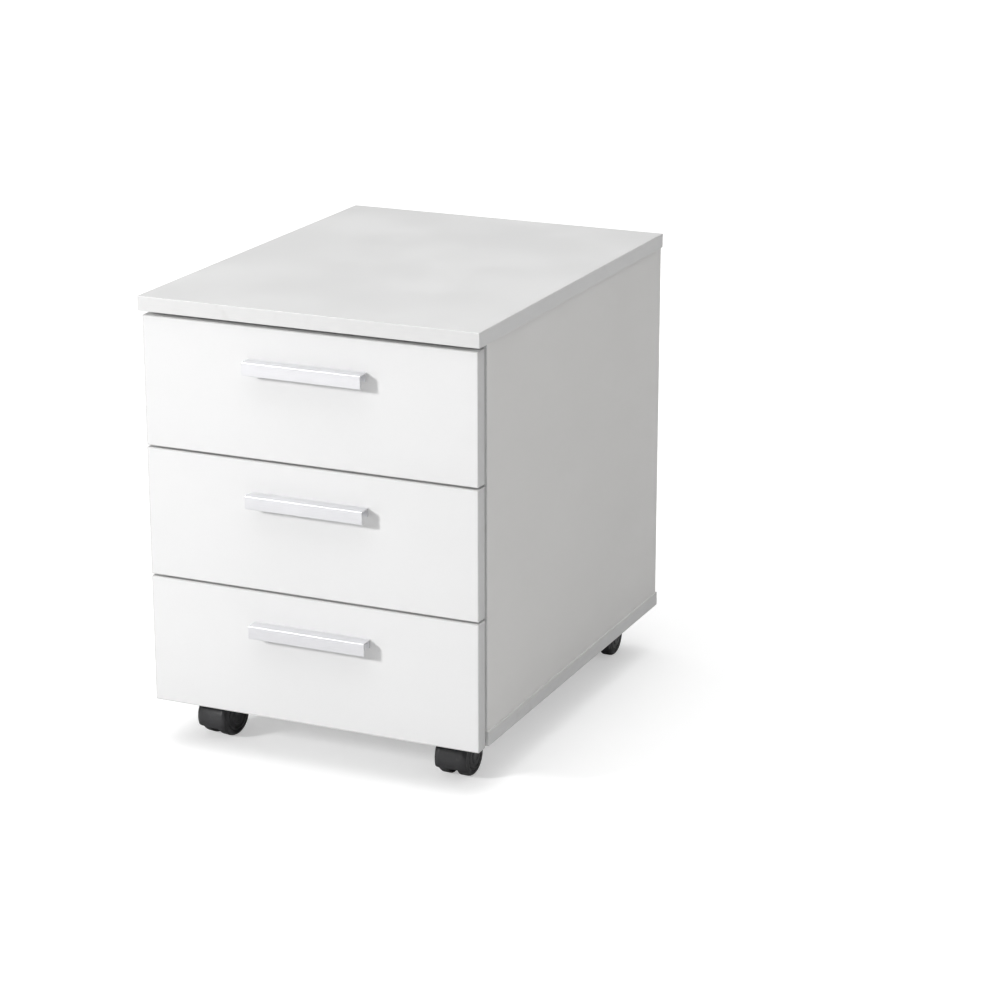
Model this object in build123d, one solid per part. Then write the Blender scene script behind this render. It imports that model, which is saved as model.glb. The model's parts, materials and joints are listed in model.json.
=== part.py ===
from build123d import *
import os

os.makedirs("parts", exist_ok=True)

# Rolling pedestal cabinet with three drawers, in millimetres.
# Frame: X across, +Y towards the back, +Z up, origin on the floor under the middle.

# ---- overall sizes ----
TOP_WIDTH = 437.0
CASE_DEPTH = 561.0            # drawer faces to the back edge of the top
TOTAL_HEIGHT = 560.0
CASTER_HEIGHT = 60.0
BOARD = 18.0
TOP_FRONT_OVERHANG = 4.0      # top panel past the drawer faces
PANEL_INSET = 1.9             # side and back panels set in under the top
EDGE_ROUND = 0.8              # softened arris of the edge banding

# ---- drawer fronts ----
DRAWERS = 3
FRONT_WIDTH = 429.5
FRONT_HEIGHT = 158.0
FRONT_GAP = 2.5
TOP_GAP = 5.0
FRONT_TO_CASE = 1.5           # open joint behind the fronts

# ---- drawer boxes ----
BOX_BOARD = 12.0
BOX_LENGTH = 480.0
BOX_HEIGHT = 110.0
BOX_RISE = 32.0               # box above the lower edge of its front
SLIDE_SPACE = 13.0            # side panel to drawer box
BOTTOM_THICK = 4.0
BOTTOM_RISE = 10.0
GROOVE_DEPTH = 6.0

# ---- ball bearing slides ----
SLIDE_LENGTH = 450.0
SLIDE_SETBACK = 24.0          # slide's front end behind the drawer face
SLIDE_RISE = 36.0             # slide's centre line above the drawer box's lower edge
SLIDE_HEIGHT = 35.0
SLIDE_SHEET = 1.2
SLIDE_FLANGE = 9.1
SLIDE_LIP = 2.0
INNER_SLIDE_HEIGHT = 22.0
INNER_SLIDE_FLANGE = 9.9
CAGE_SHEET = 0.8
CAGE_LENGTH = 106.0
CAGE_START = 196.0            # cage's front end behind the drawer face
CAGE_HALF_HEIGHT = 13.65      # ball centres above and below the slide's centre line
CAGE_DEPTH = 6.1
CAGE_GAP = 0.4
BALL_RADIUS = 2.3
BALL_PITCH = 20.0
BALLS_IN_ROW = 5

# ---- handles ----
HANDLE_WIDTH = 152.0
HANDLE_OUT = 16.5
HANDLE_DROP = 16.0
HANDLE_SHEET = 1.8
HANDLE_FLANGE = 3.0
HANDLE_FLANGE_HEIGHT = 10.0
HANDLE_BELOW_EDGE = 38.5
HANDLE_SCREW_X = 64.0
HANDLE_SCREW_BELOW = 6.0

# ---- fasteners ----
FIT = 0.05                    # radial clearance of a pin in its hole
DOWEL_RADIUS = 4.0
DOWEL_IN_PANEL = 11.0
DOWEL_IN_SIDE = 24.0
DOWEL_Y = (-230.0, 10.0, 250.0)
CAM_Y = (-190.0, 210.0)
CAM_RADIUS = 7.5
CAM_DEPTH = 12.5
CAM_FROM_EDGE = 34.0
CAM_SLOT_LENGTH = 8.0
CAM_SLOT_WIDTH = 1.4
CAM_SLOT_DEPTH = 1.5
CAM_BOLT_RADIUS = 3.5
CAM_BOLT_IN_PANEL = 10.0
SLIDE_SCREW_Y = (30.0, 225.0, 420.0)       # along the slide
SLIDE_SCREW_RADIUS = 1.6
SLIDE_SCREW_HEAD = 3.2
SLIDE_SCREW_LENGTH = 12.0
BOX_SCREW_LENGTH = 10.0
HEAD_DEPTH = 1.6
HANDLE_SCREW_RADIUS = 1.9
HANDLE_SCREW_HEAD = 4.0
HANDLE_SCREW_HEAD_THICK = 2.4
HANDLE_SCREW_COVER = 0.3      # flange left in front of a screw's tip

# ---- casters ----
CASTER_X = 160.0
CASTER_FRONT_SETBACK = 52.0   # swivel axis behind the drawer faces
CASTER_BACK_SETBACK = 62.0    # swivel axis in front of the back edge
CASTER_YAW = {"front_left": -9.0, "front_right": 0.0, "rear_left": 5.0, "rear_right": 0.0}
WHEEL_RADIUS = 25.0
TRAIL = 14.0
WEB_HALF = 4.5
HALF_TURN = 180.0
WHEEL_INNER = 5.0
WHEEL_OUTER = 22.0
WHEEL_SHOULDER = 6.3          # rounding between tread and face
WHEEL_FACE_FLAT = 14.5        # tread runs flat out to here
WHEEL_HUB = 7.0
WHEEL_RIM = 20.5              # hollow inner side's radius
WHEEL_CAP = 6.0               # flat middle of the face
WHEEL_WALL = 5.0
WHEEL_CHAMFER = 1.5
RING_GROOVE = 1.2             # width of the rings on a wheel's face
INNER_RING = (9.0, 1.0)       # a ring's radius and depth below the cap
OUTER_RING = (17.5, 1.8)
HOOD_HALF = 20.5
HOOD_GAP = 1.5                # hood to tread
HOOD_SHEET = 2.5
HOOD_TILT = 22.0              # the hood's open half faces down and back by this angle
NECK_Y = (-7.0, 8.0)          # block round the stem, from front to back
NECK_BELOW = 3.0              # block below the stem's end
AXLE_RADIUS = 3.0
AXLE_HALF = 18.6
AXLE_SOCKET = 18.9
STEM_RADIUS = 4.0
STEM_LOW = 33.0
BOSS_RADIUS = 11.0
BOSS_LOW = 47.0
BOSS_TOP = 56.5
PLATE_SIZE = 42.0
PLATE_THICK = 2.5
PLATE_CORNER = 6.0
PLATE_RING = 9.0
PLATE_RING_LIFT = 0.3         # ring's lower face above the hood's boss
PLATE_RING_BORE = 5.0
PLATE_SCREW = 15.0
PLATE_SCREW_RADIUS = 1.9
PLATE_SCREW_HEAD = 3.5
PLATE_SCREW_HEAD_THICK = 1.8
PLATE_SCREW_LENGTH = 14.0

# ---- derived places ----
TOTAL_DEPTH = CASE_DEPTH + HANDLE_OUT
BACK_Y = TOTAL_DEPTH / 2
FACE_Y = BACK_Y - CASE_DEPTH
CASE_FRONT_Y = FACE_Y + BOARD + FRONT_TO_CASE
SIDE_BACK_Y = BACK_Y - PANEL_INSET
SIDE_OUT = TOP_WIDTH / 2 - PANEL_INSET
SIDE_IN = SIDE_OUT - BOARD
CASE_LOW = CASTER_HEIGHT + BOARD
CASE_HIGH = TOTAL_HEIGHT - BOARD
BOX_OUT = SIDE_IN - SLIDE_SPACE
BOX_IN = BOX_OUT - BOX_BOARD
BOX_FRONT_Y = FACE_Y + BOARD
BOX_BACK_Y = BOX_FRONT_Y + BOX_LENGTH
SLIDE_Y = FACE_Y + SLIDE_SETBACK
SIDE_MID = SIDE_OUT - BOARD / 2
HOOD_INNER = WHEEL_RADIUS + HOOD_GAP
HOOD_OUTER = HOOD_INNER + HOOD_SHEET
SIGNS = (-1, 1)


def front_low(n):
    """Lower edge of drawer n's front, counted from the top drawer as 1."""
    return CASE_HIGH - TOP_GAP - n * FRONT_HEIGHT - (n - 1) * FRONT_GAP


def box_low(n):
    return front_low(n) + BOX_RISE


def slide_height(n):
    return box_low(n) + SLIDE_RISE


def save(name, pieces):
    """Write one node; a list of pieces becomes a group of separate solids."""
    shape = Compound(children=pieces) if isinstance(pieces, list) else pieces
    export_step(shape, f"parts/{name}.step")


def block(x, y, z):
    """Box between two X, two Y and two Z values."""
    size = Box(x[1] - x[0], y[1] - y[0], z[1] - z[0])
    return Pos((x[0] + x[1]) / 2, (y[0] + y[1]) / 2, (z[0] + z[1]) / 2) * size


def board(x, y, z):
    """Edge-banded board with softened edges."""
    shape = block(x, y, z)
    return fillet(shape.edges(), EDGE_ROUND)


def rod_x(x0, x1, y, z, radius):
    """Cylinder along X."""
    return Pos((x0 + x1) / 2, y, z) * Rot(0, 90, 0) * Cylinder(radius, abs(x1 - x0))


def rod_y(x, y0, y1, z, radius):
    """Cylinder along Y."""
    return Pos(x, (y0 + y1) / 2, z) * Rot(90, 0, 0) * Cylinder(radius, abs(y1 - y0))


def rod_z(x, y, z0, z1, radius):
    """Cylinder along Z."""
    return Pos(x, y, (z0 + z1) / 2) * Cylinder(radius, abs(z1 - z0))


def side_pair(low, high, side):
    """An interval of X on the left (-1) or right (+1) side."""
    return (low, high) if side > 0 else (-high, -low)


# ---- carcass joints: dowels, cam locks and their bolts ----

def dowels(end, spare=0.0):
    """Dowels of one end of both side panels; end is -1 at the bottom and +1 at the top."""
    joint = CASE_HIGH if end > 0 else CASE_LOW
    low = joint - end * (DOWEL_IN_SIDE + spare)
    high = joint + end * (DOWEL_IN_PANEL + spare)
    radius = DOWEL_RADIUS + (FIT if spare else 0)
    return [rod_z(s * SIDE_MID, y, low, high, radius) for s in SIGNS for y in DOWEL_Y]


def cam_locks(end, spare=0.0):
    z = (CASE_HIGH if end > 0 else CASE_LOW) - end * CAM_FROM_EDGE
    radius = CAM_RADIUS + spare
    depth = CAM_DEPTH + spare
    return [rod_x(s * SIDE_IN, s * (SIDE_IN + depth), y, z, radius) for s in SIGNS for y in CAM_Y]


def cam_bolts(end, spare=0.0):
    """Bolts from the locks into the top or bottom; their holes run on into the locks' bores."""
    joint = CASE_HIGH if end > 0 else CASE_LOW
    reach = CAM_FROM_EDGE if spare else CAM_FROM_EDGE - CAM_RADIUS - FIT
    low = joint - end * reach
    high = joint + end * (CAM_BOLT_IN_PANEL + spare)
    radius = CAM_BOLT_RADIUS + (FIT if spare else 0)
    return [rod_z(s * SIDE_MID, y, low, high, radius) for s in SIGNS for y in CAM_Y]


def joint_holes(end):
    return dowels(end, 0.5) + cam_locks(end, FIT) + cam_bolts(end, 0.5)


def cam_slots(locks):
    """Cross recess in the visible face of each cam lock."""
    cut = []
    for lock in locks:
        centre = lock.center()
        side = 1 if centre.X > 0 else -1
        mouth = Pos(side * SIDE_IN, centre.Y, centre.Z)
        depth = 2 * CAM_SLOT_DEPTH
        cut.append(mouth * Box(depth, CAM_SLOT_LENGTH, CAM_SLOT_WIDTH))
        cut.append(mouth * Box(depth, CAM_SLOT_WIDTH, CAM_SLOT_LENGTH))
    return [lock - cut for lock in locks]


# ---- carcass panels ----

def top_panel():
    y = (FACE_Y - TOP_FRONT_OVERHANG, BACK_Y)
    panel = board((-TOP_WIDTH / 2, TOP_WIDTH / 2), y, (CASE_HIGH, TOTAL_HEIGHT))
    return panel - joint_holes(1)


def bottom_panel():
    x = (-TOP_WIDTH / 2, TOP_WIDTH / 2)
    panel = board(x, (CASE_FRONT_Y, BACK_Y), (CASTER_HEIGHT, CASE_LOW))
    return panel - joint_holes(-1) - plate_screws(PLATE_SCREW_RADIUS + FIT)


def side_panel(side):
    x = side_pair(SIDE_IN, SIDE_OUT, side)
    panel = block(x, (CASE_FRONT_Y, SIDE_BACK_Y), (CASE_LOW, CASE_HIGH))
    panel -= joint_holes(1) + joint_holes(-1)
    holes = [s for n in range(1, DRAWERS + 1) for s in case_slide_screws(n, side, FIT)]
    return panel - holes


def back_panel():
    y = (SIDE_BACK_Y - BOARD, SIDE_BACK_Y)
    return block((-SIDE_IN, SIDE_IN), y, (CASE_LOW, CASE_HIGH))


# ---- ball bearing slides ----

def channel(side, web_x, toward, flange, height, lip, y, z):
    """Sheet channel on one side: its web at web_x, flanges running toward the other member."""
    half = height / 2
    end = web_x + toward * flange
    web = sorted((web_x, web_x + toward * SLIDE_SHEET))
    arm = sorted((web_x, end))
    shape = block(side_pair(*web, side), y, (z - half, z + half))
    for s in SIGNS:
        edge = sorted((z + s * half, z + s * (half - SLIDE_SHEET)))
        shape += block(side_pair(*arm, side), y, edge)
        if lip:
            tip = sorted((end, end - toward * SLIDE_SHEET))
            depth = sorted((z + s * half, z + s * (half - SLIDE_SHEET - lip)))
            shape += block(side_pair(*tip, side), y, depth)
    return shape


def case_slide(n, side):
    """Outer member, screwed to the side panel."""
    y = (SLIDE_Y, SLIDE_Y + SLIDE_LENGTH)
    z = slide_height(n)
    shape = channel(side, SIDE_IN, -1, SLIDE_FLANGE, SLIDE_HEIGHT, SLIDE_LIP, y, z)
    return shape - case_slide_screws(n, side, FIT)


def box_slide(n, side):
    """Inner member, screwed to the drawer box."""
    y = (SLIDE_Y, SLIDE_Y + SLIDE_LENGTH)
    z = slide_height(n)
    shape = channel(side, BOX_OUT, 1, INNER_SLIDE_FLANGE, INNER_SLIDE_HEIGHT, 0, y, z)
    return shape - box_slide_screws(n, side, FIT)


def ball_cage(n, side):
    """Sheet strip that carries the balls between the two members of one slide."""
    y = (FACE_Y + CAGE_START, FACE_Y + CAGE_START + CAGE_LENGTH)
    z = slide_height(n)
    out = SIDE_IN - SLIDE_SHEET - CAGE_GAP
    half = CAGE_HALF_HEIGHT + CAGE_SHEET / 2
    shape = block(side_pair(out - CAGE_SHEET, out, side), y, (z - half, z + half))
    ball_x = side * (out - CAGE_DEPTH + BALL_RADIUS)
    first = (y[0] + y[1] - (BALLS_IN_ROW - 1) * BALL_PITCH) / 2
    for s in SIGNS:
        row = z + s * CAGE_HALF_HEIGHT
        strip = (row - CAGE_SHEET / 2, row + CAGE_SHEET / 2)
        shape += block(side_pair(out - CAGE_DEPTH, out, side), y, strip)
        for i in range(BALLS_IN_ROW):
            shape += Pos(ball_x, first + i * BALL_PITCH, row) * Sphere(BALL_RADIUS)
    return shape


def countersunk_screw(x, y, z, toward, length, spare):
    """Screw along X with its head's face at x, driven toward +X (1) or -X (-1)."""
    shank = rod_x(x, x + toward * (length + spare), y, z, SLIDE_SCREW_RADIUS + spare)
    head = Cone(SLIDE_SCREW_RADIUS + spare, SLIDE_SCREW_HEAD + spare, HEAD_DEPTH)
    turn = Rot(0, -90 * toward, 0)
    return shank + Pos(x + toward * HEAD_DEPTH / 2, y, z) * turn * head


def case_slide_screws(n, side, spare=0.0):
    x = side * (SIDE_IN - SLIDE_SHEET)
    z = slide_height(n)
    places = [SLIDE_Y + along for along in SLIDE_SCREW_Y]
    return [countersunk_screw(x, y, z, side, SLIDE_SCREW_LENGTH, spare) for y in places]


def box_slide_screws(n, side, spare=0.0):
    x = side * (BOX_OUT + SLIDE_SHEET)
    z = slide_height(n)
    places = [SLIDE_Y + along for along in SLIDE_SCREW_Y]
    return [countersunk_screw(x, y, z, -side, BOX_SCREW_LENGTH, spare) for y in places]


# ---- drawers ----

def handle_top(n):
    return front_low(n) + FRONT_HEIGHT - HANDLE_BELOW_EDGE


def handle_screws(n, spare=0.0):
    """Screws from inside the drawer, through the front, into the handle's flange."""
    z = handle_top(n) - HANDLE_SCREW_BELOW
    tip = FACE_Y - HANDLE_FLANGE + HANDLE_SCREW_COVER - spare
    seat = FACE_Y + BOARD
    screws = []
    for s in SIGNS:
        shank = rod_y(s * HANDLE_SCREW_X, tip, seat, z, HANDLE_SCREW_RADIUS + spare)
        head_end = seat + HANDLE_SCREW_HEAD_THICK
        head = rod_y(s * HANDLE_SCREW_X, seat, head_end, z, HANDLE_SCREW_HEAD)
        screws.append(shank if spare else shank + head)
    return screws


def handle(n):
    """Open-ended channel profile: flange on the drawer, top plate, hanging grip plate."""
    x = (-HANDLE_WIDTH / 2, HANDLE_WIDTH / 2)
    top = handle_top(n)
    out = FACE_Y - HANDLE_OUT
    shape = block(x, (out, FACE_Y), (top - HANDLE_SHEET, top))
    shape += block(x, (out, out + HANDLE_SHEET), (top - HANDLE_DROP, top))
    shape += block(x, (FACE_Y - HANDLE_FLANGE, FACE_Y), (top - HANDLE_FLANGE_HEIGHT, top))
    return shape - handle_screws(n, FIT)


def drawer_front(n):
    low = front_low(n)
    x = (-FRONT_WIDTH / 2, FRONT_WIDTH / 2)
    shape = board(x, (FACE_Y, FACE_Y + BOARD), (low, low + FRONT_HEIGHT))
    return shape - handle_screws(n, FIT)


def drawer_side(n, side):
    low = box_low(n)
    x = side_pair(BOX_IN, BOX_OUT, side)
    y = (BOX_FRONT_Y, BOX_BACK_Y)
    shape = block(x, y, (low, low + BOX_HEIGHT))
    groove = side_pair(BOX_IN - 1, BOX_IN + GROOVE_DEPTH, side)
    floor = low + BOTTOM_RISE
    shape -= block(groove, (y[0] - 1, y[1] + 1), (floor, floor + BOTTOM_THICK))
    return shape - box_slide_screws(n, side, FIT)


def drawer_back(n):
    low = box_low(n) + BOTTOM_RISE + BOTTOM_THICK
    y = (BOX_BACK_Y - BOX_BOARD, BOX_BACK_Y)
    return block((-BOX_IN, BOX_IN), y, (low, box_low(n) + BOX_HEIGHT))


def drawer_bottom(n):
    low = box_low(n) + BOTTOM_RISE
    reach = BOX_IN + GROOVE_DEPTH
    return block((-reach, reach), (BOX_FRONT_Y, BOX_BACK_Y), (low, low + BOTTOM_THICK))


# ---- casters, drawn with the swivel axis on Z and the floor at zero ----

def caster_place(name):
    end, side = name.split("_")
    x = CASTER_X if side == "right" else -CASTER_X
    y = FACE_Y + CASTER_FRONT_SETBACK if end == "front" else BACK_Y - CASTER_BACK_SETBACK
    return Location((x, y, 0), (0, 0, CASTER_YAW[name]))


def plate_place(name):
    return Pos(caster_place(name).position)


def screw_corners():
    return [(a * PLATE_SCREW, b * PLATE_SCREW) for a in SIGNS for b in SIGNS]


def caster_plate():
    low = CASTER_HEIGHT - PLATE_THICK
    half = PLATE_SIZE / 2
    shape = block((-half, half), (-half, half), (low, CASTER_HEIGHT))
    shape = fillet(shape.edges().filter_by(Axis.Z), PLATE_CORNER)
    ring = rod_z(0, 0, BOSS_TOP + PLATE_RING_LIFT, low, PLATE_RING)
    shape += ring - rod_z(0, 0, BOSS_TOP, low, PLATE_RING_BORE)
    shape -= rod_z(0, 0, BOSS_TOP, CASTER_HEIGHT, STEM_RADIUS + FIT)
    holes = [rod_z(x, y, low, CASTER_HEIGHT, PLATE_SCREW_RADIUS + FIT) for x, y in screw_corners()]
    return shape - holes


def plate_screws(radius):
    """Screw shanks of all four plates; holes when drawn a little wider."""
    low = CASTER_HEIGHT - PLATE_THICK
    high = low + PLATE_SCREW_LENGTH
    shanks = []
    for name in CASTER_YAW:
        place = plate_place(name)
        shanks += [place * rod_z(x, y, low, high, radius) for x, y in screw_corners()]
    return shanks


def caster_screws():
    low = CASTER_HEIGHT - PLATE_THICK
    head_low = low - PLATE_SCREW_HEAD_THICK
    screws = []
    for shank in plate_screws(PLATE_SCREW_RADIUS):
        centre = shank.center()
        screws.append(shank + rod_z(centre.X, centre.Y, head_low, low, PLATE_SCREW_HEAD))
    return screws


def wheel_axis():
    """Plane across the axle: its X runs back, its Y runs up, its normal is +X."""
    return Plane(origin=(0, TRAIL, WHEEL_RADIUS), x_dir=(0, 1, 0), z_dir=(1, 0, 0))


def shoulder_slab(spare):
    """The wheel pair's rounded section, centred on the axle and grown by spare."""
    radius = WHEEL_SHOULDER + spare
    width = 2 * (WHEEL_FACE_FLAT + radius)
    return RectangleRounded(width, 2 * (WHEEL_RADIUS + spare), radius)


def hood_shell():
    """Half ring over both wheels that follows their rounded shoulders."""
    band = Pos(0, HOOD_OUTER) * Rectangle(2 * HOOD_HALF, 2 * HOOD_OUTER - 2 * WHEEL_RIM)
    section = (shoulder_slab(HOOD_GAP + HOOD_SHEET) - shoulder_slab(HOOD_GAP)) & band
    half_ring = revolve(section, Axis.X, HALF_TURN)
    return Pos(0, TRAIL, WHEEL_RADIUS) * Rot(HOOD_TILT, 0, 0) * half_ring


def caster_hood():
    axis = wheel_axis()
    tilt = Rot(0, 0, HOOD_TILT)
    open_half = tilt * Pos(0, -HOOD_OUTER) * Rectangle(4 * HOOD_OUTER, 2 * HOOD_OUTER)
    web = Circle(HOOD_OUTER) - open_half + Circle(HOOD_INNER / 2)
    shape = hood_shell() + extrude(axis * web, WEB_HALF, both=True)
    shape += block((-WEB_HALF, WEB_HALF), NECK_Y, (STEM_LOW - NECK_BELOW, BOSS_TOP))
    boss = rod_z(0, 0, BOSS_LOW, BOSS_TOP, BOSS_RADIUS)
    for s in SIGNS:
        boss -= rod_x(s * WEB_HALF, s * HOOD_OUTER, TRAIL, WHEEL_RADIUS, HOOD_INNER)
    shape += boss
    shape -= rod_x(-WEB_HALF, WEB_HALF, TRAIL, WHEEL_RADIUS, AXLE_RADIUS + FIT)
    return shape - rod_z(0, 0, STEM_LOW, BOSS_TOP + 1, STEM_RADIUS + FIT)


def caster_pins():
    """Swivel stem and wheel axle."""
    stem = rod_z(0, 0, STEM_LOW, CASTER_HEIGHT - 0.2, STEM_RADIUS)
    return [stem, rod_x(-AXLE_HALF, AXLE_HALF, TRAIL, WHEEL_RADIUS, AXLE_RADIUS)]


def wheel_half():
    """Half section of the right wheel: X along the axle, Y the radius."""
    bore = AXLE_RADIUS + FIT
    edge = WHEEL_FACE_FLAT + WHEEL_SHOULDER
    tread_start = WHEEL_INNER + WHEEL_CHAMFER
    crown = Line((tread_start, WHEEL_RADIUS), (WHEEL_FACE_FLAT, WHEEL_RADIUS))
    shoulder = TangentArc(crown @ 1, (edge, WHEEL_RADIUS - WHEEL_SHOULDER), tangent=(1, 0))
    middle = ((edge + 2 * WHEEL_OUTER) / 3, WHEEL_RADIUS / 2)
    dome = ThreePointArc(shoulder @ 1, middle, (WHEEL_OUTER, WHEEL_CAP))
    inside = Polyline(
        dome @ 1,
        (WHEEL_OUTER, 0),
        (AXLE_SOCKET, 0),
        (AXLE_SOCKET, bore),
        (WHEEL_INNER, bore),
        (WHEEL_INNER, WHEEL_HUB),
        (WHEEL_OUTER - WHEEL_WALL, WHEEL_HUB),
        (WHEEL_OUTER - WHEEL_WALL, WHEEL_RIM - 1),
        (WHEEL_INNER, WHEEL_RIM),
        (WHEEL_INNER, WHEEL_RADIUS - WHEEL_CHAMFER),
        crown @ 0,
    )
    return make_face([crown, shoulder, dome, inside])


def ring_groove(radius, depth):
    """Shallow groove round the wheel's face, its floor at a depth below the cap."""
    centre = WHEEL_OUTER - depth + WHEEL_OUTER / 2
    section = Pos(centre, radius) * Rectangle(WHEEL_OUTER, RING_GROOVE)
    return revolve(section, Axis.X)


def wheel(side):
    """Twin wheel with a domed face that carries two shallow rings."""
    shape = revolve(wheel_half(), Axis.X)
    shape -= ring_groove(*INNER_RING)
    shape -= ring_groove(*OUTER_RING)
    if side < 0:
        shape = mirror(shape, Plane.YZ)
    return Pos(0, TRAIL, WHEEL_RADIUS) * shape


# ---- write every node ----

def write_case():
    save("top_panel", top_panel())
    save("bottom_panel", bottom_panel())
    save("left_side_panel", side_panel(-1))
    save("right_side_panel", side_panel(1))
    save("back_panel", back_panel())
    save("panel_dowels", dowels(1) + dowels(-1))
    save("cam_locks", cam_slots(cam_locks(1) + cam_locks(-1)))
    save("cam_bolts", cam_bolts(1) + cam_bolts(-1))
    numbers = range(1, DRAWERS + 1)
    for n in numbers:
        save(f"case_slides_{n}", [case_slide(n, s) for s in SIGNS])
    save("case_slide_screws", [p for n in numbers for s in SIGNS for p in case_slide_screws(n, s)])


def write_drawer(n):
    save(f"drawer_{n}_front", drawer_front(n))
    save(f"drawer_{n}_left_side", drawer_side(n, -1))
    save(f"drawer_{n}_right_side", drawer_side(n, 1))
    save(f"drawer_{n}_back", drawer_back(n))
    save(f"drawer_{n}_bottom", drawer_bottom(n))
    save(f"drawer_{n}_slides", [box_slide(n, s) for s in SIGNS])
    save(f"drawer_{n}_handle", handle(n))
    save(f"drawer_{n}_screws", handle_screws(n) + [p for s in SIGNS for p in box_slide_screws(n, s)])
    save(f"ball_cages_{n}", [ball_cage(n, s) for s in SIGNS])


def write_casters():
    save("caster_screws", caster_screws())
    for name in CASTER_YAW:
        place = caster_place(name)
        save(f"{name}_caster_plate", plate_place(name) * caster_plate())
        save(f"{name}_caster_hood", place * caster_hood())
        save(f"{name}_caster_pins", [place * pin for pin in caster_pins()])
        save(f"{name}_wheel_left", place * wheel(-1))
        save(f"{name}_wheel_right", place * wheel(1))


write_case()
for number in range(1, DRAWERS + 1):
    write_drawer(number)
write_casters()
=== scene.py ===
import json
import math

import bmesh
import bpy
from mathutils import Matrix, Vector


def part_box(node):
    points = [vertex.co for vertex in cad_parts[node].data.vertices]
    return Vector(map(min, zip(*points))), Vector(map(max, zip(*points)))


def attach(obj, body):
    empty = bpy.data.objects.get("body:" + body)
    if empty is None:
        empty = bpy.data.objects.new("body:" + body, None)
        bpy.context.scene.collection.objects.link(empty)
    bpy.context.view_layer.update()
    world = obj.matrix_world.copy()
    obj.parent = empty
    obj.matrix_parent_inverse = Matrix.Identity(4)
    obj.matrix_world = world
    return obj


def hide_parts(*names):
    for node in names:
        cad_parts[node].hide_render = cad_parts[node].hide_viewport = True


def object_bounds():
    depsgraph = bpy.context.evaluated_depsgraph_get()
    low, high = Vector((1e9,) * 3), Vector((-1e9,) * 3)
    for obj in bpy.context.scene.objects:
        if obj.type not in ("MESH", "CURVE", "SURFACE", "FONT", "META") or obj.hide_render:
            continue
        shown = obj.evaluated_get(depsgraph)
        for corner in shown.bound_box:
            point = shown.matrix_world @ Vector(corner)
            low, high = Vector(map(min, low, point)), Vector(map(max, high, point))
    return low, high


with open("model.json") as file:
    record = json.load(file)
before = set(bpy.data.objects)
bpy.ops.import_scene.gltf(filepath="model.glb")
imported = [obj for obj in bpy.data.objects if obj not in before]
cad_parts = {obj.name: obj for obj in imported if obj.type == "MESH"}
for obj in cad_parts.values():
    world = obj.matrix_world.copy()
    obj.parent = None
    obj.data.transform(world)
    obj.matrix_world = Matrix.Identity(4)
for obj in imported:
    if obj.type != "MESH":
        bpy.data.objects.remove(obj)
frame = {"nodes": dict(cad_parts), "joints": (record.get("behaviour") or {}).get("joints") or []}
cad_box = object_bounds()

MM = 0.001
NODES = frame["nodes"]
JOINTS = {j["child"]: j for j in frame["joints"]}
CASTERS = ("front_left", "front_right", "rear_left", "rear_right")
DRAWERS = (1, 2, 3)

# ---- camera: aim point and distance in metres, direction in degrees, lens and sensor in mm ----
AIM = Vector((0.19985, -0.17885, 0.33674))
CAMERA_AZIMUTH = 24.01
CAMERA_ELEVATION = 17.455
CAMERA_DISTANCE = 3.4
LENS = 105.73
SENSOR = 36.0

# ---- surface tones, linear ----
BOARD_WHITE = (0.80, 0.80, 0.797)
BAND_WHITE = (0.74, 0.74, 0.737)
# side panels: board white with a painted warm cast that stands in for the warm light on the shaded
# side
SIDE_WHITE_WARM_SHADE_TINT = (0.80, 0.793, 0.778)
FRONT_BAND = (0.68, 0.68, 0.677)
FRONT_WHITE = (0.83, 0.83, 0.83)
BOX_WHITE = (0.74, 0.74, 0.73)
BEECH = (0.52, 0.33, 0.17)
ALUMINIUM = (0.80, 0.80, 0.82)
ZINC = (0.62, 0.63, 0.645)
BLACK_PLASTIC = (0.028, 0.028, 0.030)
TREAD_BLACK = (0.020, 0.020, 0.021)
SCREW_STEEL = (0.66, 0.665, 0.67)
PIN_STEEL = (0.56, 0.56, 0.57)
CAM_ZINC = (0.55, 0.55, 0.56)
FLOOR_WHITE = (0.70, 0.70, 0.70)

# ---- second tones that wear, dust and glue mix in, linear ----
GLUE_BROWN = (0.33, 0.31, 0.28)
EDGE_WEAR = (0.42, 0.40, 0.37)
BEECH_FLECK = (0.25, 0.13, 0.06)
DULL_ZINC = (0.50, 0.49, 0.44)
HOOD_DUST = (0.22, 0.21, 0.19)
WHEEL_DUST = (0.24, 0.23, 0.21)
SCUFF_GREY = (0.12, 0.115, 0.105)


# ---------------------------------------------------------------- shader helper

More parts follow.
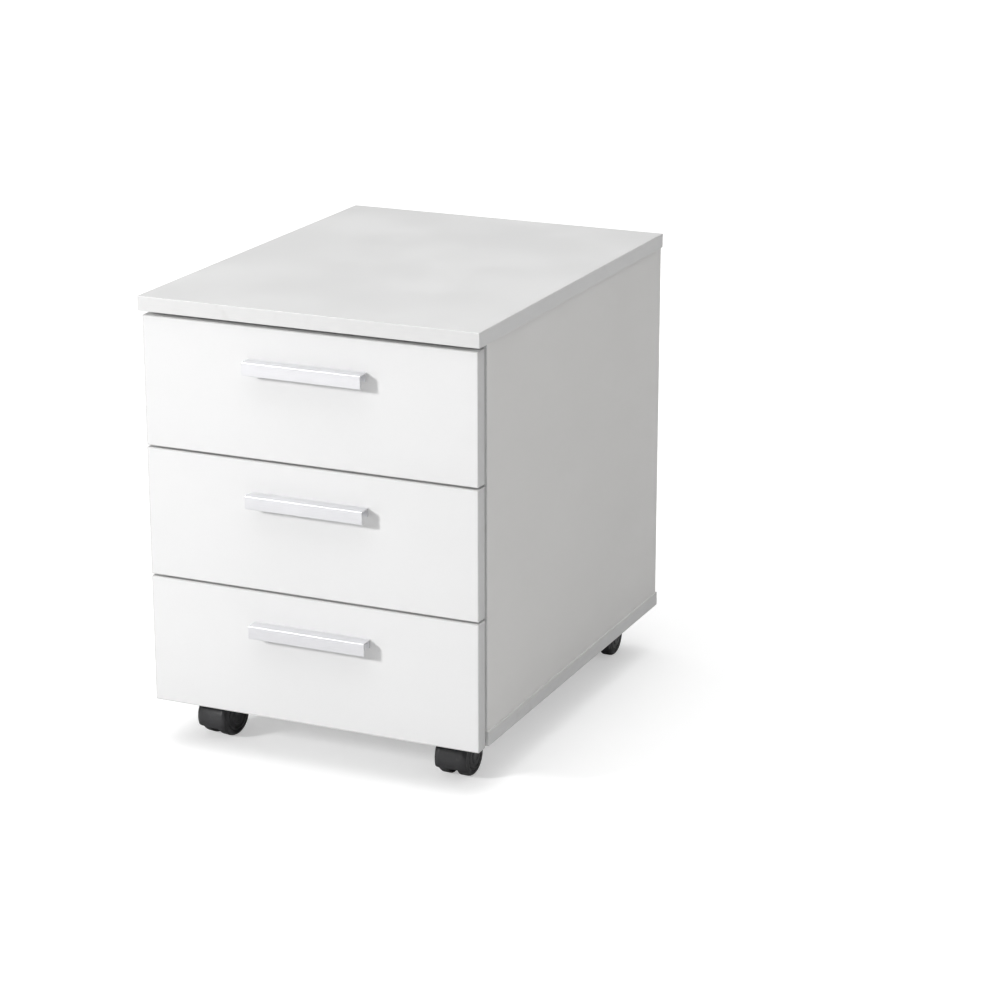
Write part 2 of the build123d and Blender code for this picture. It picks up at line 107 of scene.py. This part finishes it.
class Shader:
    """One procedural material: a Principled shader and short calls that add nodes to it."""

    def __init__(self, name, roughness=0.5, metallic=0.0, coat=0.0):
        self.mat = bpy.data.materials.new(name)
        self.mat.use_nodes = True
        self.tree = self.mat.node_tree
        self.bsdf = self.tree.nodes["Principled BSDF"]
        self.bsdf.inputs["Roughness"].default_value = roughness
        self.bsdf.inputs["Metallic"].default_value = metallic
        self.bsdf.inputs["Coat Weight"].default_value = coat
        self.place = self.add("ShaderNodeTexCoord").outputs["Object"]

    def add(self, kind, **values):
        node = self.tree.nodes.new(kind)
        for key, value in values.items():
            setattr(node, key, value)
        return node

    def feed(self, socket, value):
        if isinstance(value, bpy.types.NodeSocket):
            self.tree.links.new(value, socket)
        else:
            socket.default_value = value

    def math(self, operation, a, b=0.0, c=0.0):
        node = self.add("ShaderNodeMath", operation=operation)
        for socket, value in zip(node.inputs, (a, b, c)):
            self.feed(socket, value)
        return node.outputs[0]

    def ramp(self, value, low, high, to_low=0.0, to_high=1.0):
        """value mapped smoothly from low..high to to_low..to_high."""
        node = self.add("ShaderNodeMapRange", interpolation_type="SMOOTHSTEP")
        for key, v in zip(("Value", "From Min", "From Max", "To Min", "To Max"),
                          (value, low, high, to_low, to_high)):
            self.feed(node.inputs[key], v)
        return node.outputs["Result"]

    def stretch(self, factors):
        node = self.add("ShaderNodeMapping")
        self.feed(node.inputs["Vector"], self.place)
        node.inputs["Scale"].default_value = factors
        return node.outputs[0]

    def noise(self, scale, detail=2.0, vector=None, roughness=0.5):
        node = self.add("ShaderNodeTexNoise")
        self.feed(node.inputs["Vector"], vector or self.place)
        node.inputs["Scale"].default_value = scale
        node.inputs["Detail"].default_value = detail
        node.inputs["Roughness"].default_value = roughness
        return node.outputs["Fac"]

    def split(self, vector=None):
        node = self.add("ShaderNodeSeparateXYZ")
        self.feed(node.inputs[0], vector or self.place)
        return node.outputs

    def mix(self, factor, a, b, blend="MIX"):
        node = self.add("ShaderNodeMix", data_type="RGBA", blend_type=blend)
        for socket, value in zip((node.inputs[0], node.inputs[6], node.inputs[7]), (factor, a, b)):
            if isinstance(value, tuple) and len(value) == 3:
                value = (*value, 1.0)
            self.feed(socket, value)
        return node.outputs[2]

    def shade(self, colour, factor):
        """colour multiplied by a scalar field."""
        grey = self.add("ShaderNodeCombineColor")
        for socket in grey.inputs:
            self.feed(socket, factor)
        return self.mix(1.0, colour, grey.outputs[0], "MULTIPLY")

    def bump(self, *layers):
        """layers are (height, distance in metres), laid over each other."""
        normal = None
        for height, distance in layers:
            node = self.add("ShaderNodeBump")
            self.feed(node.inputs["Height"], height)
            node.inputs["Distance"].default_value = distance
            if normal:
                self.feed(node.inputs["Normal"], normal)
            normal = node.outputs[0]
        self.feed(self.bsdf.inputs["Normal"], normal)

    def finish(self, colour, roughness=None):
        self.feed(self.bsdf.inputs["Base Color"], colour)
        if roughness is not None:
            self.feed(self.bsdf.inputs["Roughness"], roughness)
        return self.mat


def paint(node, *materials):
    """Give a CAD node its finish."""
    mesh = NODES[node].data
    mesh.materials.clear()
    for material in materials:
        mesh.materials.append(material)


# ---------------------------------------------------------------- materials

BAND_END = (0.9 * MM, 1.0 * MM)       # distance from the edge over which the banding ends
GLUE_START = (0.88 * MM, 0.98 * MM)   # and over which its glue line starts
GLUE_END = (1.05 * MM, 1.2 * MM)
WORN_EDGE = 0.3 * MM
FOOT_DARKENING_HEIGHT = 0.05                   # height of the zone over which the colour darkens towards a board's foot
PEARL_DEPTH = 0.012 * MM
WAVE_DEPTH = 0.1 * MM
GLUE_DEPTH = 0.05 * MM
TREAD_START = (22.9 * MM, 23.6 * MM)  # radii between which a wheel's disc turns into its tread


def edge_distance(s, box, bands):
    """Distance from each banded edge of a board, the least of them."""
    axes = s.split()
    least = None
    for axis, end in bands:
        edge = box[end][axis]
        away = s.math("ABSOLUTE", s.math("SUBTRACT", axes[axis], edge))
        least = away if least is None else s.math("MINIMUM", least, away)
    return least


def melamine(name, node, tone, band, bands, foot_darkening=0.03):
    """Satin melamine board: pearl grain, cleaning smears, edge banding with its glue line.
    bands lists the banded edges as (axis, LOW or HIGH); the last argument is how much the colour
    darkens towards the foot."""
    s = Shader(name, roughness=0.42)
    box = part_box(node)
    pearl = s.noise(1400.0, 1.0)
    speck = s.noise(5200.0, 0.0)
    cloud = s.noise(4.5, 3.0)
    smear = s.noise(1.0, 4.0, s.stretch((9.0, 9.0, 30.0)), 0.6)
    field = s.ramp(cloud, 0.3, 0.7, 0.985, 1.0)
    field = s.math("MULTIPLY", field, s.ramp(speck, 0.3, 0.7, 0.985, 1.008))
    lift = s.math("SUBTRACT", s.split()[2], box[0].z)
    # colour made darker towards the board's foot
    field = s.math("MULTIPLY", field, s.ramp(lift, 0.0, FOOT_DARKENING_HEIGHT, 1.0 - foot_darkening, 1.0))
    colour = s.shade((*tone, 1.0), field)
    rough = s.ramp(smear, 0.35, 0.7, 0.37, 0.47)
    if bands:
        away = edge_distance(s, box, bands)
        on_band = s.ramp(away, *BAND_END, 1.0, 0.0)
        glue = s.math("MULTIPLY", s.ramp(away, *GLUE_START), s.ramp(away, *GLUE_END, 1.0, 0.0))
        streak = s.noise(1.0, 2.0, s.stretch((60.0, 60.0, 2200.0)))
        worn = s.math("MULTIPLY", s.ramp(away, 0.0, WORN_EDGE, 1.0, 0.0),
                      s.ramp(s.noise(35.0, 4.0), 0.60, 0.75))
        strip = s.shade((*band, 1.0), s.ramp(streak, 0.3, 0.7, 0.985, 1.005))
        colour = s.mix(on_band, colour, strip)
        colour = s.mix(s.math("MULTIPLY", glue, 0.55), colour, GLUE_BROWN)
        colour = s.mix(s.math("MULTIPLY", worn, 0.12), colour, EDGE_WEAR)
        rough = s.math("ADD", rough, s.math("MULTIPLY", on_band, -0.07))
        s.bump((pearl, PEARL_DEPTH), (cloud, WAVE_DEPTH), (glue, -GLUE_DEPTH))
    else:
        s.bump((pearl, PEARL_DEPTH), (cloud, WAVE_DEPTH))
    return s.finish(colour, rough)


def beech():
    s = Shader("dowel_beech", roughness=0.6)
    grain = s.noise(1.0, 5.0, s.stretch((900.0, 900.0, 60.0)))
    fleck = s.noise(1.0, 1.0, s.stretch((1800.0, 1800.0, 300.0)))
    colour = s.mix(s.ramp(grain, 0.35, 0.65), BEECH, tuple(0.72 * c for c in BEECH))
    colour = s.mix(s.ramp(fleck, 0.6, 0.75, 0.0, 0.5), colour, BEECH_FLECK)
    s.bump((grain, 0.05 * MM))
    return s.finish(colour, s.ramp(fleck, 0.3, 0.7, 0.5, 0.7))


def satin_aluminium():
    """Fine extrusion lines along X under a satin anodised skin."""
    s = Shader("handle_aluminium", roughness=0.34, metallic=1.0)
    lines = s.noise(1.0, 4.0, s.stretch((6.0, 2600.0, 2600.0)), 0.65)
    blast = s.noise(4200.0, 1.0)
    touch = s.noise(28.0, 3.0)
    colour = s.shade((*ALUMINIUM, 1.0), s.ramp(lines, 0.3, 0.7, 0.965, 1.0))
    colour = s.shade(colour, s.ramp(touch, 0.4, 0.75, 1.0, 0.975))
    rough = s.math("ADD", s.ramp(lines, 0.25, 0.75, 0.30, 0.40), s.ramp(touch, 0.45, 0.75, 0.0, 0.06))
    s.bump((lines, 0.012 * MM), (blast, 0.006 * MM))
    return s.finish(colour, rough)


def zinc(name, tone, grain, spread=0.07):
    """Bright zinc plate: faint spangle, rolling marks along Y, dulled patches."""
    s = Shader(name, roughness=0.3, metallic=1.0)
    rolled = s.noise(1.0, 3.0, s.stretch((grain, grain / 40.0, grain)), 0.6)
    patch = s.noise(60.0, 4.0)
    cell = s.add("ShaderNodeTexVoronoi")
    s.feed(cell.inputs["Vector"], s.place)
    cell.inputs["Scale"].default_value = 220.0
    spangle = s.split(cell.outputs["Color"])[0]
    field = s.math("MULTIPLY", s.ramp(spangle, 0.0, 1.0, 1.0 - spread, 1.0),
                   s.ramp(rolled, 0.3, 0.7, 0.94, 1.0))
    colour = s.shade((*tone, 1.0), field)
    colour = s.mix(s.ramp(patch, 0.55, 0.75, 0.0, 0.25), colour, DULL_ZINC)
    rough = s.math("ADD", s.ramp(patch, 0.3, 0.7, 0.26, 0.40), s.math("MULTIPLY", spangle, 0.05))
    s.bump((rolled, 0.02 * MM), (patch, 0.02 * MM))
    return s.finish(colour, rough)


def black_plastic():
    """Moulded black plastic with spark-eroded grain and a little dust low down."""
    s = Shader("caster_plastic", roughness=0.4)
    grain = s.noise(2600.0, 2.0)
    flow = s.noise(45.0, 3.0)
    dust = s.noise(130.0, 5.0, None, 0.65)
    colour = s.shade((*BLACK_PLASTIC, 1.0), s.ramp(flow, 0.3, 0.7, 0.85, 1.15))
    colour = s.mix(s.ramp(dust, 0.56, 0.75, 0.0, 0.12), colour, HOOD_DUST)
    rough = s.math("ADD", s.ramp(grain, 0.3, 0.7, 0.33, 0.43), s.ramp(dust, 0.5, 0.75, 0.0, 0.15))
    s.bump((grain, 0.03 * MM), (flow, 0.08 * MM))
    return s.finish(colour, rough)


def wheel_finish():
    """Wheel in its own axes, X along the axle: glossy disc, duller scuffed tread."""
    s = Shader("wheel_plastic", roughness=0.4)
    _, y, z = s.split()
    radius = s.math("SQRT", s.math("ADD", s.math("MULTIPLY", y, y), s.math("MULTIPLY", z, z)))
    tread = s.ramp(radius, *TREAD_START)
    grain = s.noise(2400.0, 2.0)
    scuff = s.noise(1.0, 4.0, s.stretch((2500.0, 260.0, 260.0)), 0.6)
    dust = s.noise(170.0, 5.0, None, 0.65)
    disc = s.shade((*BLACK_PLASTIC, 1.0), s.ramp(s.noise(60.0), 0.3, 0.7, 0.85, 1.2))
    tyre = s.mix(s.ramp(scuff, 0.52, 0.72, 0.0, 0.35), TREAD_BLACK, SCUFF_GREY)
    colour = s.mix(tread, disc, tyre)
    colour = s.mix(s.ramp(dust, 0.55, 0.75, 0.0, 0.16), colour, WHEEL_DUST)
    rough = s.math("ADD", s.ramp(tread, 0.0, 1.0, 0.34, 0.55), s.ramp(dust, 0.5, 0.75, 0.0, 0.15))
    s.bump((grain, 0.03 * MM), (scuff, 0.03 * MM))
    return s.finish(colour, rough)


# ---------------------------------------------------------------- mesh helpers

SHARP = math.radians(38)      # edges that turn by more are shaded hard
STRAIGHT = math.radians(89)   # half a corner's angle from which it is left as it is
ON_AXIS = 1e-7                # metres within which a point of an outline lies on the axle


def piece(name, bm, material, body, replaced, matrix=None):
    """Turn a bmesh into a finished object that rides on a body and stands for a CAD node."""
    bmesh.ops.recalc_face_normals(bm, faces=bm.faces)
    for face in bm.faces:
        face.smooth = True
    for edge in bm.edges:
        edge.smooth = len(edge.link_faces) == 2 and edge.calc_face_angle(0.0) < SHARP
    mesh = bpy.data.meshes.new(name)
    bm.to_mesh(mesh)
    bm.free()
    mesh.materials.append(material)
    obj = bpy.data.objects.new(name, mesh)
    bpy.context.scene.collection.objects.link(obj)
    if matrix is not None:
        obj.matrix_world = matrix
    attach(obj, body)
    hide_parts(replaced)
    return obj


def rounded(points, radii, steps=5):
    """Closed outline with each corner rounded by its radius."""
    out = []
    count = len(points)
    for i, corner in enumerate(points):
        corner = Vector(corner)
        radius = radii[i] if isinstance(radii, (list, tuple)) else radii
        to_last = (Vector(points[i - 1]) - corner).normalized()
        to_next = (Vector(points[(i + 1) % count]) - corner).normalized()
        half = to_last.angle(to_next) / 2
        if radius <= 0 or half > STRAIGHT:
            out.append(corner)
            continue
        reach = radius / math.tan(half)
        centre = corner + (to_last + to_next).normalized() * radius / math.sin(half)
        start = corner + to_last * reach - centre
        end = corner + to_next * reach - centre
        for k in range(steps + 1):
            t = k / steps
            arm = (start * (1 - t) + end * t).normalized() * radius
            out.append(centre + arm)
    return out


def lathe(bm, outline, segments=96, shape=Vector):
    """Revolve a closed outline of (x along the axle, radius) about X; shape moves its points."""
    rings = []
    for x, radius in outline:
        if radius < ON_AXIS:
            rings.append([bm.verts.new(shape((x, 0.0, 0.0)))])
            continue
        turn = [2 * math.pi * k / segments for k in range(segments)]
        ring = [(x, radius * math.cos(a), radius * math.sin(a)) for a in turn]
        rings.append([bm.verts.new(shape(p)) for p in ring])
    for a, b in zip(rings, rings[1:] + rings[:1]):
        if len(a) == 1 and len(b) == 1:
            continue
        for k in range(segments):
            n = (k + 1) % segments
            if len(a) == 1:
                bm.faces.new((a[0], b[k], b[n]))
            elif len(b) == 1:
                bm.faces.new((a[k], a[n], b[0]))
            else:
                bm.faces.new((a[k], a[n], b[n], b[k]))


def prism(bm, outline, place, low, high, chamfer):
    """Extrude a closed 2-D outline between low and high, its ends drawn in by a chamfer.
    place(u, v, w) turns outline and height into a point."""
    count = len(outline)
    inset = []
    for i, p in enumerate(outline):
        along = (Vector(outline[(i + 1) % count]) - Vector(outline[i - 1])).normalized()
        inset.append(Vector(p) - Vector((along.y, -along.x)) * chamfer)
    area = sum(a[0] * b[1] - a[1] * b[0] for a, b in zip(outline, outline[1:] + outline[:1]))
    if area < 0:
        inset = [Vector(p) * 2 - q for p, q in zip(outline, inset)]
    levels = ((inset, low), (outline, low + chamfer), (outline, high - chamfer), (inset, high))
    rings = [[bm.verts.new(place(p[0], p[1], w)) for p in ring] for ring, w in levels]
    for a, b in zip(rings, rings[1:]):
        for k in range(count):
            n = (k + 1) % count
            bm.faces.new((a[k], a[n], b[n], b[k]))
    bm.faces.new(rings[0])
    bm.faces.new(rings[-1])


# ---------------------------------------------------------------- boards

X, Y, Z = 0, 1, 2
LOW, HIGH = 0, 1
BOX_ARRIS = 0.6 * MM
ARRIS_ANGLE = math.radians(40)


def finish_boards():
    """Case panels, drawer fronts and drawer boxes keep their CAD shapes; the boxes' rims are
    softened."""
    round_all = ((X, LOW), (X, HIGH), (Y, LOW), (Y, HIGH))
    paint("top_panel", melamine("top_board", "top_panel", BOARD_WHITE, BAND_WHITE, round_all, 0.0))
    paint("bottom_panel",
          melamine("bottom_board", "bottom_panel", BOARD_WHITE, FRONT_BAND, round_all, 0.0))
    for side in ("left", "right"):
        name = f"{side}_side_panel"
        # side panels take the painted warm shade tint
        paint(name, melamine(f"{side}_board", name, SIDE_WHITE_WARM_SHADE_TINT, BAND_WHITE, ((Y, LOW), (Y, HIGH))))
    paint("back_panel", melamine("back_board", "back_panel", BOARD_WHITE, BAND_WHITE, ()))
    for n in DRAWERS:
        front = f"drawer_{n}_front"
        edges = ((X, LOW), (X, HIGH), (Z, LOW), (Z, HIGH))
        paint(front, melamine(f"front_board_{n}", front, FRONT_WHITE, FRONT_BAND, edges, 0.01))
        for part in ("left_side", "right_side", "back"):
            name = f"drawer_{n}_{part}"
            paint(name, melamine(f"box_board_{n}_{part}", name, BOX_WHITE, BAND_WHITE, ((Z, HIGH),)))
            soften(name, BOX_ARRIS)
        base = f"drawer_{n}_bottom"
        paint(base, melamine(f"box_base_{n}", base, BOX_WHITE, BAND_WHITE, ()))


def soften(node, width):
    """Small rounded arrises on a part that keeps its CAD shape."""
    bevel = NODES[node].modifiers.new("soft_edges", "BEVEL")
    bevel.width = width
    bevel.segments = 3
    bevel.limit_method = "ANGLE"
    bevel.angle_limit = ARRIS_ANGLE
    bevel.harden_normals = True


# ---------------------------------------------------------------- screws

COUNTERSINK = 1.6 * MM
PAN_HEAD = 2.0 * MM
PAN_DOME = 0.6 * MM
SHANK_SHARE = 0.5             # shank radius over head radius
POINT_LENGTH = 1.5            # length of the tip's cone over shank radius
RECESS_REACH = 0.56           # cross recess over head radius
RECESS_ARM = 0.13             # half an arm's width over head radius
RECESS_DEEP = 0.42            # depth over head radius
HEAD_RINGS = 12               # rings of points across a head, so that the recess can be pressed in
SCREW_SEGMENTS = 48
WELD = 1e-6                   # metres within which a CAD mesh's vertices are one


def islands(node):
    """The points of each separate solid in a CAD node, as one list per solid.
    Solids come in the order of the mesh's vertices, which is the same in every run."""
    bm = bmesh.new()
    bm.from_mesh(NODES[node].data)
    bmesh.ops.remove_doubles(bm, verts=bm.verts, dist=WELD)
    bm.verts.ensure_lookup_table()
    bm.verts.index_update()
    taken = [False] * len(bm.verts)
    groups = []
    for seed in bm.verts:
        if taken[seed.index]:
            continue
        taken[seed.index] = True
        open_ends = [seed]
        points = []
        while open_ends:
            vert = open_ends.pop()
            points.append(vert.co.copy())
            for edge in vert.link_edges:
                other = edge.other_vert(vert)
                if not taken[other.index]:
                    taken[other.index] = True
                    open_ends.append(other)
        groups.append(points)
    bm.free()
    return groups


def screw_axis(points):
    """Head centre, direction towards the tip, length and head radius of one CAD screw."""
    low = Vector([min(p[i] for p in points) for i in range(3)])
    high = Vector([max(p[i] for p in points) for i in range(3)])
    size = high - low
    axis = max(range(3), key=lambda i: size[i])
    middle = (low + high) / 2
    cross = [i for i in range(3) if i != axis]

    def girth(end):
        near = [p for p in points if abs(p[axis] - end) < 0.1 * MM]
        return max(math.hypot(*(p[i] - middle[i] for i in cross)) for p in near)

    head_low = girth(low[axis]) > girth(high[axis])
    head = middle.copy()
    head[axis] = low[axis] if head_low else high[axis]
    way = Vector((0.0, 0.0, 0.0))
    way[axis] = 1.0 if head_low else -1.0
    return head, way, size[axis], size[cross[0]] / 2


def screws(node, body, material):
    """Cross-recessed screws in place of the CAD ones: countersunk along X, pan head otherwise."""
    bm = bmesh.new()
    for points in islands(node):
        head, way, length, radius = screw_axis(points)
        turn = Vector((1.0, 0.0, 0.0)).rotation_difference(way).to_matrix().to_4x4()
        place = Matrix.Translation(head) @ turn
        sunk = abs(way.x) > 0.5
        thick = COUNTERSINK if sunk else PAN_HEAD
        dome = 0.0 if sunk else PAN_DOME
        shank = radius * SHANK_SHARE

        def shape(point):
            x, y, z = point
            arm = min(abs(y), abs(z)) < RECESS_ARM * radius
            if x < dome + 0.2 * MM and arm and math.hypot(y, z) < RECESS_REACH * radius:
                x += RECESS_DEEP * radius * (1.0 - math.hypot(y, z) / radius)
            return place @ Vector((x, y, z))

        top = [k / HEAD_RINGS for k in range(HEAD_RINGS)]
        outline = [(dome * t * t, radius * t) for t in top]
        if sunk:
            outline += [(0.05 * MM, radius), (0.25 * MM, radius), (thick, shank)]
        else:
            outline += [(dome + 0.3 * MM, radius), (thick - 0.2 * MM, radius),
                        (thick, radius * 0.96), (thick, shank)]
        outline += [(length - POINT_LENGTH * shank, shank), (length, 0.0)]
        lathe(bm, outline, SCREW_SEGMENTS, shape)
    return piece(f"{node}_set", bm, material, body, node)


# ---------------------------------------------------------------- metal parts kept from CAD

def finish_metal():
    plate = zinc("plate_steel", ZINC, 1800.0)
    slide = zinc("slide_steel", ZINC, 1500.0)
    screw = zinc("screw_steel", SCREW_STEEL, 3000.0, 0.03)
    pins = zinc("pin_steel", PIN_STEEL, 3000.0, 0.02)
    cam = zinc("cam_zinc", CAM_ZINC, 900.0, 0.10)
    for n in DRAWERS:
        paint(f"case_slides_{n}", slide)
        paint(f"drawer_{n}_slides", slide)
        paint(f"ball_cages_{n}", pins)
        screws(f"drawer_{n}_screws", f"drawer_{n}", screw)
    screws("case_slide_screws", "root", screw)
    screws("caster_screws", "root", screw)
    paint("cam_locks", cam)
    paint("cam_bolts", cam)
    paint("panel_dowels", beech())
    for name in CASTERS:
        paint(f"{name}_caster_plate", plate)
        paint(f"{name}_caster_pins", pins)


# ---------------------------------------------------------------- handles

HANDLE_SHEET = 1.8 * MM
FLANGE_SHEET = 3.0 * MM
FLANGE_DROP = 10.0 * MM
HANDLE_END = 0.2 * MM         # chamfer of the sawn ends


def handle(n, material):
    """Extruded channel with soft outer corners and deburred ends."""
    node = f"drawer_{n}_handle"
    low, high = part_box(node)
    front, back, top, foot = low.y, high.y, high.z, low.z
    outline = [
        (back, top), (back, top - FLANGE_DROP), (back - FLANGE_SHEET, top - FLANGE_DROP),
        (back - FLANGE_SHEET, top - HANDLE_SHEET), (front + HANDLE_SHEET, top - HANDLE_SHEET),
        (front + HANDLE_SHEET, foot), (front, foot), (front, top),
    ]
    radii = [0.1 * MM, 0.4 * MM, 0.4 * MM, 0.5 * MM, 0.6 * MM, 0.6 * MM, 0.6 * MM, 1.2 * MM]
    bm = bmesh.new()
    prism(bm, rounded(outline, radii), lambda u, v, w: (w, u, v), low.x, high.x, HANDLE_END)
    return piece(f"{node}_bar", bm, material, f"drawer_{n}", node)


# ---------------------------------------------------------------- casters

WHEEL_INNER = 5.0 * MM
WHEEL_OUTER = 22.0 * MM
WHEEL_BORE = 3.05 * MM
HOOD_ARRIS = 0.5 * MM


def caster_turn(name):
    """Rotation of a caster about its stem at rest, from its wheel's axle."""
    axle = JOINTS[f"{name}_wheel_left"]["axis"]
    return Matrix.Rotation(math.atan2(axle[1], axle[0]), 4, "Z")


def wheel_outline(radius):
    """Half section: crowned tread, seam, dished disc, hub cap, hollow inner side."""
    face = WHEEL_OUTER
    points = [
        (WHEEL_INNER + 0.5 * MM, radius), (face - 2.1 * MM, radius),
        (face - 1.3 * MM, radius - 6.6 * MM), (face - 2.1 * MM, radius - 6.8 * MM),
        (face - 2.1 * MM, radius - 7.6 * MM), (face - 1.1 * MM, radius - 7.8 * MM),
        (face - 0.6 * MM, radius - 10.6 * MM), (face - 1.6 * MM, radius - 11.2 * MM),
        (face - 1.3 * MM, 10.2 * MM), (face - 0.2 * MM, 9.4 * MM),
        (face - 0.1 * MM, 5.6 * MM), (face - 0.6 * MM, 5.2 * MM), (face - 0.6 * MM, 0.0),
        (face - 3.1 * MM, 0.0), (face - 3.1 * MM, WHEEL_BORE), (WHEEL_INNER, WHEEL_BORE),
        (WHEEL_INNER, 7.0 * MM), (face - 5.0 * MM, 7.4 * MM), (face - 5.0 * MM, radius - 5.4 * MM),
        (WHEEL_INNER + 0.5 * MM, radius - 4.4 * MM),
    ]
    soft = [1.6, 5.4, 0.25, 0.2, 0.2, 0.5, 0.5, 0.4, 0.5, 0.5,
            0.4, 0.2, 0, 0, 0, 0.3, 0.5, 0.8, 0.8, 0.5]
    return rounded(points, [r * MM for r in soft], 4)


def wheel(name, side, material):
    body = f"{name}_wheel_{side}"
    joint = JOINTS[body]
    low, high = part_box(body)
    radius = (high.z - low.z) / 2
    flip = Matrix.Rotation(math.pi, 4, "Z") if side == "left" else Matrix.Identity(4)
    place = Matrix.Translation(joint["pos_m"]) @ caster_turn(name) @ flip
    bm = bmesh.new()
    lathe(bm, [tuple(p) for p in wheel_outline(radius)])
    return piece(f"{body}_disc", bm, material, body, body, place)


# ---------------------------------------------------------------- light, floor, camera

ZENITH_STRENGTH = 3.5         # of the world straight overhead
ZENITH_POWER = 6.0            # how fast it falls off away from there
FLOOR_HALF = 40.0             # metres from the floor's middle to its edge
GLOW_REACH = (0.7, 2.4)       # metres from the cabinet's middle between which the floor's glow grows
GLOW_STRENGTH = (0.42, 0.6)   # near the cabinet and far from it


def area_light(name, azimuth, elevation, distance, size, power):
    """Softbox aimed at the cabinet's middle; azimuth 0 is in front, positive to the right.
    Angles in degrees, distance and size in metres, power in watts."""
    a, e = math.radians(azimuth), math.radians(elevation)
    middle = Vector((0.0, 0.0, cad_box[1].z / 2))
    way = Vector((math.sin(a) * math.cos(e), -math.cos(a) * math.cos(e), math.sin(e)))
    data = bpy.data.lights.new(name, "AREA")
    data.shape = "RECTANGLE"
    data.size, data.size_y = size
    data.energy = power
    light = bpy.data.objects.new(name, data)
    light.location = middle + way * distance
    light.rotation_euler = (-way).to_track_quat("-Z", "Y").to_euler()
    bpy.context.scene.collection.objects.link(light)


def ceiling_world():
    """White studio: bright overhead, falling off towards the horizon; the backdrop shows white."""
    world = bpy.data.worlds.new("studio")
    world.use_nodes = True
    tree = world.node_tree
    back = tree.nodes["Background"]
    coords = tree.nodes.new("ShaderNodeTexCoord")
    split = tree.nodes.new("ShaderNodeSeparateXYZ")
    tree.links.new(coords.outputs["Generated"], split.inputs[0])
    gather = tree.nodes.new("ShaderNodeMath")
    gather.operation = "POWER"
    gather.inputs[1].default_value = ZENITH_POWER
    tree.links.new(split.outputs[2], gather.inputs[0])
    strength = tree.nodes.new("ShaderNodeMapRange")
    strength.inputs["From Min"].default_value = 0.0
    strength.inputs["From Max"].default_value = 1.0
    strength.inputs["To Min"].default_value = 0.0
    strength.inputs["To Max"].default_value = ZENITH_STRENGTH
    tree.links.new(gather.outputs[0], strength.inputs["Value"])
    path = tree.nodes.new("ShaderNodeLightPath")
    seen = tree.nodes.new("ShaderNodeMath")
    seen.operation = "MAXIMUM"
    tree.links.new(path.outputs["Is Camera Ray"], seen.inputs[0])
    tree.links.new(strength.outputs[0], seen.inputs[1])
    tree.links.new(seen.outputs[0], back.inputs["Strength"])
    back.inputs["Color"].default_value = (1.0, 1.0, 1.0, 1.0)
    bpy.context.scene.world = world


def floor():
    """White sweep. Its glow, seen by the camera alone, blends it into the backdrop."""
    half = FLOOR_HALF
    corners = [(-half, -half, 0), (half, -half, 0), (half, half, 0), (-half, half, 0)]
    mesh = bpy.data.meshes.new("floor")
    mesh.from_pydata(corners, [], [(0, 1, 2, 3)])
    s = Shader("floor_white", roughness=0.7)
    cloud = s.noise(3.0, 3.0)
    s.finish(s.shade((*FLOOR_WHITE, 1.0), s.ramp(cloud, 0.3, 0.7, 0.99, 1.0)))
    s.bsdf.inputs["Specular IOR Level"].default_value = 0.2
    s.bsdf.inputs["Emission Color"].default_value = (1.0, 1.0, 1.0, 1.0)
    x, y, _ = s.split()
    away = s.math("SQRT", s.math("ADD", s.math("MULTIPLY", x, x), s.math("MULTIPLY", y, y)))
    seen = s.add("ShaderNodeLightPath").outputs["Is Camera Ray"]
    lift = s.math("MULTIPLY", seen, s.ramp(away, *GLOW_REACH, *GLOW_STRENGTH))
    s.feed(s.bsdf.inputs["Emission Strength"], lift)
    mesh.materials.append(s.mat)
    obj = bpy.data.objects.new("floor", mesh)
    bpy.context.scene.collection.objects.link(obj)


def camera():
    a, e = math.radians(CAMERA_AZIMUTH), math.radians(CAMERA_ELEVATION)
    back = Vector((math.sin(a) * math.cos(e), -math.cos(a) * math.cos(e), math.sin(e)))
    data = bpy.data.cameras.new("camera")
    data.lens = LENS
    data.sensor_width = SENSOR
    obj = bpy.data.objects.new("camera", data)
    obj.location = AIM + back * CAMERA_DISTANCE
    obj.rotation_euler = (-back).to_track_quat("-Z", "Y").to_euler()
    bpy.context.scene.collection.objects.link(obj)
    bpy.context.scene.camera = obj


# ---------------------------------------------------------------- build

bpy.context.scene.view_settings.view_transform = "Standard"
finish_boards()
finish_metal()
bright = satin_aluminium()
for number in DRAWERS:
    handle(number, bright)
plastic = black_plastic()
turned = wheel_finish()
for caster in CASTERS:
    paint(f"{caster}_caster_hood", plastic)
    soften(f"{caster}_caster_hood", HOOD_ARRIS)
    for hand in ("left", "right"):
        wheel(caster, hand, turned)

camera()
ceiling_world()
floor()
area_light("key", azimuth=-38, elevation=21, distance=4.2, size=(0.56, 0.56), power=109.0)
area_light("fill", azimuth=75, elevation=30, distance=3.0, size=(2.0, 2.0), power=9.0)
